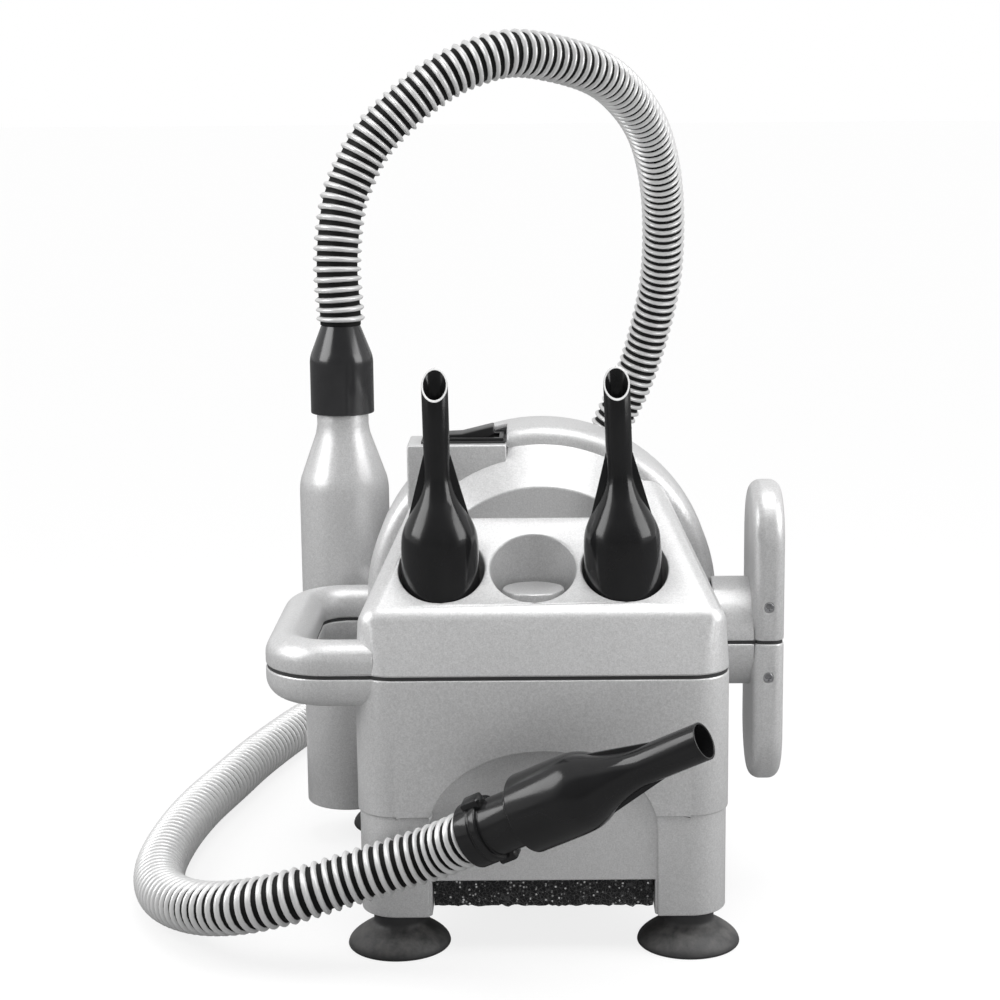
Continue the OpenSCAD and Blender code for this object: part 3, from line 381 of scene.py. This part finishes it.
def piece(name, bm, material, body="base", stands_for=(), smooth=38):
    """Turns a bmesh into a finished object that rides on a body and stands for its nodes."""
    for face in bm.faces:
        face.smooth = True
    for edge in bm.edges:
        edge.smooth = not edge.is_manifold or edge.calc_face_angle(0) < math.radians(smooth)
    mesh = bpy.data.meshes.new(name)
    bm.to_mesh(mesh)
    bm.free()
    made = bpy.data.objects.new(name, mesh)
    bpy.context.scene.collection.objects.link(made)
    for one in (material if isinstance(material, tuple) else (material,)):
        mesh.materials.append(one)
    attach(made, body)
    if stands_for:
        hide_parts(*stands_for)
    return made


def merged_copy(node, flat=0.4):
    """A node's solid with its corners joined and its flat faces cleared of inner edges."""
    bm = bmesh.new()
    bm.from_mesh(NODES[node].data)
    bmesh.ops.remove_doubles(bm, verts=bm.verts, dist=2e-5)
    bmesh.ops.dissolve_limit(
        bm, angle_limit=math.radians(flat), use_dissolve_boundaries=False, verts=bm.verts, edges=bm.edges,
        delimit={"NORMAL"})
    bmesh.ops.connect_verts_concave(bm, faces=bm.faces)
    return bm


def soften_edges(bm, width, angle=32, segments=3):
    sharp = [e for e in bm.edges if e.is_convex and e.calc_face_angle(0) > math.radians(angle)]
    bmesh.ops.bevel(
        bm, geom=sharp, offset=width, offset_type="OFFSET", affect="EDGES", segments=segments, profile=0.5,
        material=-1, clamp_overlap=False, loop_slide=True, miter_outer="ARC")


def rounded(points, steps=5):
    """A line through points of radius and height, with a curve at each corner that names a rounding."""
    line = []
    for i, (x, y, *soft) in enumerate(points):
        here = Vector((x, y))
        if not soft:
            line.append(here)
            continue
        ends = []
        for other in (points[i - 1], points[(i + 1) % len(points)]):
            away = Vector(other[:2]) - here
            ends.append(here + away.normalized() * min(soft[0], away.length * 0.48))
        for k in range(steps + 1):
            t = k / steps
            line.append(ends[0] * (1 - t) ** 2 + here * 2 * t * (1 - t) + ends[1] * t * t)
    return line


def lathe(points, steps=72, closed=True):
    """Turns an outline in mm round the upright axis. An open outline starts and ends on the axis."""
    bm = bmesh.new()
    line = [bm.verts.new((p.x * MM, 0, p.y * MM)) for p in rounded(points)]
    edges = [bm.edges.new(pair) for pair in zip(line, line[1:])]
    if closed:
        edges.append(bm.edges.new((line[-1], line[0])))
    bmesh.ops.spin(
        bm, geom=line + edges, cent=(0, 0, 0), axis=(0, 0, 1), angle=math.tau, steps=steps, use_merge=True)
    bmesh.ops.remove_doubles(bm, verts=bm.verts, dist=1e-6)
    bmesh.ops.recalc_face_normals(bm, faces=bm.faces)
    return bm


def add_prism(bm, outline, low, high, soft, turn=None):
    """Adds a prism over an outline in X and Z in mm, from low to high in Y, with soft edges."""
    rings = [[bm.verts.new((x * MM, y * MM, z * MM)) for x, z in outline] for y in (low, high)]
    faces = [bm.faces.new(rings[0]), bm.faces.new(rings[1][::-1])]
    count = len(outline)
    for i in range(count):
        n = (i + 1) % count
        faces.append(bm.faces.new((rings[0][n], rings[0][i], rings[1][i], rings[1][n])))
    bmesh.ops.recalc_face_normals(bm, faces=faces)
    if turn:
        bmesh.ops.transform(bm, matrix=turn, verts=rings[0] + rings[1])
    edges = list({e for f in faces for e in f.edges})
    bmesh.ops.bevel(
        bm, geom=edges, offset=soft * MM, offset_type="OFFSET", affect="EDGES", segments=2, profile=0.5, material=-1)


def put(bm, place, lean=0.0, heading=0.0):
    """Moves a new piece from the origin to its place on the casing, leant over about Y and then turned about Z."""
    bmesh.ops.transform(
        bm, verts=bm.verts,
        matrix=Matrix.Translation(Vector(place) * MM + CASING_ORIGIN)
        @ Matrix.Rotation(heading, 4, "Z") @ Matrix.Rotation(lean, 4, "Y"))


def dress_node(node, material):
    """Gives a node that shows as it is its material."""
    mesh = NODES[node].data
    mesh.materials.clear()
    mesh.materials.append(material)


def route_samples(step):
    """Points a step apart along the smooth curve through the hose's route, in metres in the frame."""
    points = [Vector(p) * MM + CASING_ORIGIN for p in HOSE_ROUTE]
    dense = []
    for i in range(len(points) - 1):
        a, b, c, d = (points[min(max(j, 0), len(points) - 1)] for j in range(i - 1, i + 3))
        for k in range(24):
            t = k / 24
            dense.append(0.5 * (2 * b + (c - a) * t + (2 * a - 5 * b + 4 * c - d) * t * t
                                + (3 * b - a - 3 * c + d) * t ** 3))
    dense.append(points[-1])
    runs = [0.0]
    for p, q in zip(dense, dense[1:]):
        runs.append(runs[-1] + (q - p).length)
    count = round(runs[-1] / step)
    samples, j = [], 0
    for k in range(count + 1):
        s = runs[-1] * k / count
        while j < len(runs) - 2 and runs[j + 1] < s:
            j += 1
        t = (s - runs[j]) / (runs[j + 1] - runs[j])
        samples.append(dense[j].lerp(dense[j + 1], min(t, 1)))
    return samples, runs[-1]


class DRYER_OT_stage(bpy.types.Operator):
    """Sets the camera, the floor and the lamps"""
    bl_idname = "dryer.stage"
    bl_label = "Stage"

    def execute(self, context):
        look = looks("dryer_stage")
        scene = context.scene
        scene.view_settings.view_transform = "Standard"
        data = bpy.data.cameras.new("front_camera")
        data.lens = 77.4
        data.sensor_width = 36
        data.shift_x = -0.041
        data.clip_end = 50
        camera = bpy.data.objects.new("front_camera", data)
        camera.matrix_world = (
            Matrix.Translation((0.008, -1.36175, 0.5076))
            @ Matrix.Rotation(math.radians(90 - 10.5), 4, "X")
            @ Matrix.Rotation(math.radians(-0.4), 4, "Z"))
        scene.collection.objects.link(camera)
        scene.camera = camera

        self.lay_floor(scene, look)
        self.light_room(scene, look)
        return {"FINISHED"}

    @staticmethod
    def lay_floor(scene, look):
        """A pale floor that keeps a light shadow and runs white to the horizon for the camera."""
        material, g = begin("pale_floor")
        seen = g.add("ShaderNodeLightPath").outputs["Is Camera Ray"]
        tone = g.mix(g.noise(3.0, 2.0), look.floor, tuple(min(1, c * 1.02) for c in look.floor))
        mirrored = g.add("ShaderNodeLightPath").outputs["Is Glossy Ray"]
        thrown = g.mix(mirrored, look.bounce, tuple(c * 0.5 for c in look.bounce))
        lit = g.add("ShaderNodeBsdfDiffuse", {"Color": g.mix(seen, thrown, tone)})
        white = g.add("ShaderNodeEmission", {"Color": (1, 1, 1, 1)})
        share = g.maths("MULTIPLY", seen, look.glow)
        both = g.add("ShaderNodeMixShader", {0: share, 1: lit.outputs[0], 2: white.outputs[0]})
        output = g.add("ShaderNodeOutputMaterial")
        g.tree.links.new(both.outputs[0], output.inputs["Surface"])
        bm = bmesh.new()
        bmesh.ops.create_grid(bm, x_segments=2, y_segments=2, size=300)
        mesh = bpy.data.meshes.new("floor")
        bm.to_mesh(mesh)
        bm.free()
        mesh.materials.append(material)
        floor = bpy.data.objects.new("floor", mesh)
        scene.collection.objects.link(floor)

    @staticmethod
    def light_room(scene, look):
        """A white room that is dim on the camera's side, and one wide light overhead."""
        world = bpy.data.worlds.new("white_room")
        world.use_nodes = True
        world.node_tree.nodes.clear()
        g = Graph(world.node_tree)
        direction = g.add("ShaderNodeTexCoord").outputs["Generated"]
        back = g.add("ShaderNodeSeparateXYZ", {"Vector": direction}).outputs["Y"]
        share = g.ramp(back, -0.62, -0.40)
        mirrored = g.add("ShaderNodeLightPath").outputs["Is Glossy Ray"]
        front = g.maths("ADD", look.front, g.maths("MULTIPLY", mirrored, look.dark - look.front))
        rest = g.maths("MULTIPLY", share, g.maths("SUBTRACT", look.room, front))
        seen = g.add("ShaderNodeLightPath").outputs["Is Camera Ray"]
        strength = g.maths("MAXIMUM", g.maths("ADD", front, rest), seen)
        sky = g.add("ShaderNodeBackground", {"Color": (1, 1, 1, 1), "Strength": strength})
        output = g.add("ShaderNodeOutputWorld")
        g.tree.links.new(sky.outputs[0], output.inputs["Surface"])
        scene.world = world
        lamp = bpy.data.lights.new("overhead", "SUN")
        lamp.energy = look.sun
        lamp.angle = math.radians(40)
        holder = bpy.data.objects.new("overhead", lamp)
        holder.matrix_world = Vector((-0.16, 0.08, -1)).to_track_quat("-Z", "Y").to_matrix().to_4x4()
        scene.collection.objects.link(holder)
        for name, power, place in (
                ("left_lamp", look.left, (-0.75, -0.22, 0.65)), ("right_lamp", look.right, (0.75, -0.22, 0.60)),
                ("fill_lamp", look.fill, (0.35, -1.50, 0.60))):
            lamp = bpy.data.lights.new(name, "AREA")
            lamp.energy = power
            lamp.size = 0.5
            holder = bpy.data.objects.new(name, lamp)
            aim = Vector((0, 0, 0.25)) - Vector(place)
            holder.matrix_world = Matrix.Translation(place) @ aim.to_track_quat("-Z", "Y").to_matrix().to_4x4()
            holder.visible_camera = False
            holder.visible_glossy = power != look.fill
            scene.collection.objects.link(holder)


class DRYER_OT_hose(bpy.types.Operator):
    """Winds the ribbed hose along its route"""
    bl_idname = "dryer.hose"
    bl_label = "Ribbed hose"

    sides: bpy.props.IntProperty(name="Sides", description="Faces round the hose", default=28, min=8)
    tail: length("Tail", "How far the hose's line runs on into the connector", 0.02)

    def execute(self, context):
        look = looks("dryer_hose")
        path, run = route_samples(0.006)
        ribs = round(run / look.pitch)
        outer, inner = look.diameter / 2, look.diameter / 2 - look.groove
        profile = [(0.0, 0.0), (0.36, 0.0), (0.43, 0.42), (0.52, 0.78), (0.66, 1.0), (0.80, 0.78), (0.89, 0.42),
                   (0.96, 0.0)]
        bm = bmesh.new()
        crest = bm.verts.layers.float.new("crest")
        line = []
        for k in range(ribs):
            for along, up in profile:
                vert = bm.verts.new((inner + (outer - inner) * up, 0, (k + along) * run / ribs))
                vert[crest] = up
                line.append(vert)
        last = bm.verts.new((inner, 0, run))
        line.append(last)
        edges = [bm.edges.new(pair) for pair in zip(line, line[1:])]
        bmesh.ops.spin(
            bm, geom=line + edges, cent=(0, 0, 0), axis=(0, 0, 1), angle=math.tau, steps=self.sides,
            use_merge=True)
        bmesh.ops.remove_doubles(bm, verts=bm.verts, dist=1e-6)
        self.lay(bm, path, run)
        bmesh.ops.recalc_face_normals(bm, faces=bm.faces)
        hose = piece("ribbed_hose", bm, hose_material(), stands_for=("hose",), smooth=80)
        path.append(path[-1] + HOSE_AIM * self.tail)
        return {"FINISHED"}

    @staticmethod
    def lay(bm, path, run):
        """Bends the straight tube along the path with a frame that doesn't twist."""
        slopes = [(path[min(i + 1, len(path) - 1)] - path[max(i - 1, 0)]).normalized() for i in range(len(path))]
        side = slopes[0].orthogonal().normalized()
        sides = []
        for slope in slopes:
            side = (side - slope * side.dot(slope)).normalized()
            sides.append(side)
        gap = run / (len(path) - 1)
        for vert in bm.verts:
            at = min(max(vert.co.z / gap, 0), len(path) - 1.0001)
            i = int(at)
            t = at - i
            centre = path[i].lerp(path[i + 1], t)
            slope = slopes[i].lerp(slopes[i + 1], t).normalized()
            u = sides[i].lerp(sides[i + 1], t)
            u = (u - slope * u.dot(slope)).normalized()
            vert.co = centre + u * vert.co.x + slope.cross(u) * vert.co.y


class DRYER_OT_shells(bpy.types.Operator):
    """Finishes the lower casing, the upper cover and the riser with soft moulded edges"""
    bl_idname = "dryer.shells"
    bl_label = "Moulded shells"

    def execute(self, context):
        look = looks("dryer_shell")
        silver = silver_material()
        for node in ("lower_casing", "upper_cover", "outlet_riser"):
            bm = merged_copy(node)
            if node == "lower_casing":
                self.soften_casing(bm, look)
            soften_edges(bm, look.edge)
            piece(node + "_moulding", bm, silver, stands_for=(node,), smooth=30)
        return {"FINISHED"}


    @staticmethod
    def soften_casing(bm, look):
        """Rounds the rim of the recess in the front and the undersides of the legs more than the rest."""
        front = CASING_ORIGIN.y
        rim, under = [], []
        for edge in bm.edges:
            if not edge.is_manifold or edge.calc_face_angle(0) < math.radians(32):
                continue
            ends = [v.co for v in edge.verts]
            if all(abs(c.y - front) < 1e-4 and 0.05 < c.z < 0.135 for c in ends) or all(
                    abs(c.y - front - 0.0012) < 1e-4 and 0.05 < c.z < 0.135 for c in ends):
                rim.append(edge)
            elif all(abs(c.z - 0.025) < 1e-4 for c in ends):
                under.append(edge)
        for edges, width in ((rim, look.arch), (under, look.leg)):
            bmesh.ops.bevel(
                bm, geom=[e for e in edges if e.is_valid], offset=width, offset_type="OFFSET", affect="EDGES",
                segments=5, profile=0.5, material=-1, clamp_overlap=True, loop_slide=True)


class DRYER_OT_nozzles(bpy.types.Operator):
    """Finishes the nozzles, the hose connector and the cuff"""
    bl_idname = "dryer.nozzles"
    bl_label = "Nozzles and cuff"

    def execute(self, context):
        look = looks("dryer_black")
        gloss = gloss_material("gloss_black", tuple(look.gloss), 0.12, 0.24, 0.4)
        # The grey cut rim material paints a highlight on the stored nozzles' slanted tips.
        rim = gloss_material("rim_painted_highlight", tuple(look.rim), 0.30, 0.42)
        satin = gloss_material("cuff_satin", tuple(look.satin), 0.16, 0.24, 0.6)
        for node, body in (("left_nozzle", "left_store"), ("right_nozzle", "right_store")):
            bm = self.stored_nozzle()
            *place, lean = POCKETS[node]
            put(bm, place, math.radians(-lean))
            piece(node + "_turned", bm, (gloss, rim), body, (node,))
        aim = math.acos(HOSE_AIM.z), math.atan2(HOSE_AIM.y, HOSE_AIM.x)
        bm = self.straight_nozzle()
        put(bm, HOSE_END, *aim)
        piece("straight_nozzle_turned", bm, gloss, "hose_tip", ("straight_nozzle",))
        bm = self.connector()
        put(bm, HOSE_END, *aim)
        piece("hose_connector_turned", bm, gloss, "base", ("hose_connector",))
        bm = lathe([
            (17.5, 300), (21.5, 300, 0.8), (21.5, 338, 4), (13, 360, 0.8), (10, 360), (10, 338, 2), (17.5, 322)])
        put(bm, RISER)
        piece("hose_cuff_turned", bm, satin, "base", ("hose_cuff",))
        return {"FINISHED"}

    @staticmethod
    def stored_nozzle():
        """A nozzle with a wide base, thin webs and a tube that is cut off slanting."""
        bm = lathe([
            (20.5, 0), (25, 0, 0.8), (25, 9, 1), (23.5, 10, 0.8), (23.5, 49, 9), (21.8, 57, 7), (16.8, 67, 6),
            (11, 77, 6), (8.5, 85, 5), (8, 94, 4), (8, 153), (6.8, 153), (6.8, 122, 4), (5.5, 112), (5.5, 84, 4), (8.5, 72, 4), (20.5, 48, 4)])
        cut = bmesh.ops.bisect_plane(
            bm, geom=[*bm.verts, *bm.edges, *bm.faces], plane_co=(0, 8 * MM, 153 * MM), plane_no=(0, -19, 16),
            clear_outer=True)
        loops = [e for e in cut["geom_cut"] if isinstance(e, bmesh.types.BMEdge)]
        # The slanted cut face takes the grey rim material, a painted highlight.
        for face in bmesh.ops.bridge_loops(bm, edges=loops)["faces"]:
            face.material_index = 1
        bmesh.ops.bevel(
            bm, geom=loops, offset=0.3 * MM, offset_type="OFFSET", affect="EDGES", segments=2, profile=0.5, material=-1)
        add_prism(bm, ((-22, 50), (22, 50), (8, 102), (-8, 102)), -1.25, 1.25, 0.5)
        return bm

    @staticmethod
    def straight_nozzle():
        """The nozzle on the hose, with a round tip."""
        bm = lathe([
            (20.5, 40), (23.5, 40, 1.2), (23.5, 77, 9), (21.5, 85, 7), (15.75, 96, 8), (11.75, 110, 7),
            (10.75, 118, 5), (10.75, 161, 0.4), (9.5, 161, 0.4), (9.5, 146, 4), (7.75, 132), (7.75, 110), (8.75, 102),
            (17.5, 77), (20.5, 55)])
        add_prism(bm, ((-22.5, 69), (22.5, 69), (10.75, 130), (-10.75, 130)), -1.25, 1.25, 0.5)
        return bm

    @staticmethod
    def connector():
        """The bayonet piece between the hose and its nozzle, with two lugs on its collar."""
        bm = lathe([
            (10, 0.2), (19.5, 0.2, 1), (19.5, 9.5, 0.3), (18.9, 10, 0.3), (18.9, 11, 0.3), (19.5, 11.5, 0.3),
            (19.5, 15.8, 1.2), (17, 16, 0.6), (17, 37, 0.4), (20.1, 37, 0.6), (20.1, 54), (10, 54)])
        for angle in (20, 200):
            add_prism(
                bm, ((15.5, 7), (22.5, 7), (22.5, 19), (15.5, 19)), -5, 5, 1.6,
                Matrix.Rotation(math.radians(angle), 4, "Z"))
        return bm


class DRYER_OT_feet(bpy.types.Operator):
    """Finishes the suction feet, the gaskets and the filter foam"""
    bl_idname = "dryer.feet"
    bl_label = "Feet and foam"

    def execute(self, context):
        dusty = rubber_material("dusty_rubber", 0.75)
        plain = rubber_material("gasket_rubber", 0.15)
        for node, (x, y) in FEET.items():
            bm = lathe([
                (0, 5), (22.5, 0, 2), (30.5, 0, 0.5), (31.5, 1.2, 0.8), (30.7, 4, 2), (28, 7, 3), (22.5, 11, 4),
                (17, 14, 2), (15.5, 16, 1.5), (15.5, 25), (0, 25)], closed=False)
            put(bm, (x, y, 0))
            piece(node + "_turned", bm, dusty, "base", (node,), 50)
        for node in ("seam_gasket", "switch_gasket", "motor_gasket", "rear_motor_mount"):
            dress_node(node, plain)
        # The filter foam's material paints glints on it and shade between its struts.
        self.foam(foam_material())
        return {"FINISHED"}

    @staticmethod
    def foam(material):
        low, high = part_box("intake_filter")
        bm = bmesh.new()
        bmesh.ops.create_cube(bm, size=1)
        bmesh.ops.scale(bm, verts=bm.verts, vec=high - low - Vector((1, 1, 1)) * 0.0016)
        bmesh.ops.translate(bm, verts=bm.verts, vec=(low + high) / 2)
        for axis, cuts in ((0, 64), (1, 110), (2, 8)):
            along = [e for e in bm.edges if abs((e.verts[0].co - e.verts[1].co).normalized()[axis]) > 0.9]
            bmesh.ops.subdivide_edges(bm, edges=along, cuts=cuts, use_grid_fill=True)
        bm.normal_update()
        for vert in bm.verts:
            rough = noise.noise(vert.co * 260) + 0.7 * noise.noise(vert.co * 610)
            vert.co += vert.normal * rough * 0.0011
            depth = (vert.co.y - low.y) / FOAM_LIP
            if depth < 1:
                vert.co.z -= FOAM_SAG * min(1, 2.5 - 2.5 * depth) * (high.z - vert.co.z) / (high.z - low.z)
        piece("filter_foam", bm, material, "filter", ("intake_filter",), 80)


class DRYER_OT_inside(bpy.types.Operator):
    """Finishes the switch, the fasteners and the pieces inside the casing"""
    bl_idname = "dryer.inside"
    bl_label = "Switch and inner pieces"

    def execute(self, context):
        look = looks("dryer_black")
        moulded = gloss_material("switch_black", tuple(look.gloss), 0.28, 0.45)
        inner = gloss_material("inner_plastic", (0.03, 0.03, 0.03), 0.5, 0.65)
        steel = metal_material("plated_steel", (0.58, 0.58, 0.60), 0.30)
        pressed = metal_material("pressed_metal", (0.62, 0.63, 0.65), 0.42)
        copper = metal_material("wound_copper", (0.62, 0.30, 0.14), 0.38)
        carbon = gloss_material("brush_carbon", (0.03, 0.03, 0.032), 0.55, 0.7)
        # The liner's foam has the same painted glints and painted shade between its struts.
        padding = foam_material()
        for material, nodes in (
                (inner, ("intake_grille", "outlet_duct", "switch_body", "brush_holders", "terminal_block",
                         "cord_inlet")),
                (steel, ("foot_studs", "filter_wires", "riser_strap", "rotor_shaft", "front_bearing",
                         "rear_bearing", "flange_tie", "casing_screws")),
                (pressed, ("motor_bulkhead", "fan_shroud", "diffuser_plate", "motor_frame", "front_impeller",
                           "rear_impeller")),
                (copper, ("stator", "armature", "commutator")),
                (carbon, ("carbon_brushes",)),
                (padding, ("acoustic_liner",))):
            for node in nodes:
                dress_node(node, material)
        for node, body, width in (("switch_bezel", "base", 0.0005), ("switch_rocker", "rocker", 0.0009)):
            bm = merged_copy(node)
            soften_edges(bm, width)
            piece(node + "_moulded", bm, moulded, body, (node,))
        self.screws(steel)
        return {"FINISHED"}

    @staticmethod
    def screws(material):
        """Two domed screws with a crossed slot in the flange's edge."""
        bm = bmesh.new()
        for place in FLANGE_SCREWS:
            dome = [(r / 5, 0.5 - r * r / 450) for r in range(0, 15)]
            one = lathe([*dome, (3, -0.1, 0.2), (3, -1.4), (1.5, -1.4), (1.5, -8), (0, -8)], 48, False)
            for vert in one.verts:
                x, y = sorted((abs(vert.co.x), abs(vert.co.y)))
                if vert.co.z > -0.0003 and x < 0.00045 and y < 0.0019:
                    vert.co.z -= 0.0009
            bmesh.ops.transform(one, verts=one.verts, matrix=Matrix.Translation(
                Vector(place) * MM + CASING_ORIGIN) @ Matrix.Rotation(math.pi / 2, 4, "X"))
            held = bpy.data.meshes.new("screw")
            one.to_mesh(held)
            one.free()
            bm.from_mesh(held)
            bpy.data.meshes.remove(held)
        piece("flange_screws_turned", bm, material, "base", ("flange_screws",), 40)


class DRYER_PT_panel(bpy.types.Panel):
    """Lists the steps that dress the dryer"""
    bl_idname = "DRYER_PT_panel"
    bl_label = "Pet Dryer"
    bl_space_type = "VIEW_3D"
    bl_region_type = "UI"
    bl_category = "Dryer"

    def draw(self, context):
        for step in STEPS:
            self.layout.operator(step.bl_idname)


STEPS = (DRYER_OT_stage, DRYER_OT_shells, DRYER_OT_nozzles, DRYER_OT_hose, DRYER_OT_feet, DRYER_OT_inside)
GROUPS = {"dryer_shell": ShellLook, "dryer_black": BlackLook, "dryer_hose": HoseMake, "dryer_stage": StageSet}


def register():
    for made in (*GROUPS.values(), *STEPS, DRYER_PT_panel):
        bpy.utils.register_class(made)
    for name, made in GROUPS.items():
        setattr(bpy.types.Scene, name, bpy.props.PointerProperty(type=made))


def unregister():
    for name in GROUPS:
        delattr(bpy.types.Scene, name)
    for made in reversed((*GROUPS.values(), *STEPS, DRYER_PT_panel)):
        bpy.utils.unregister_class(made)


def main():
    register()
    bpy.ops.dryer.stage()
    bpy.ops.dryer.shells()
    bpy.ops.dryer.nozzles()
    bpy.ops.dryer.hose()
    bpy.ops.dryer.feet()
    bpy.ops.dryer.inside()


if __name__ == "__main__":
    main()
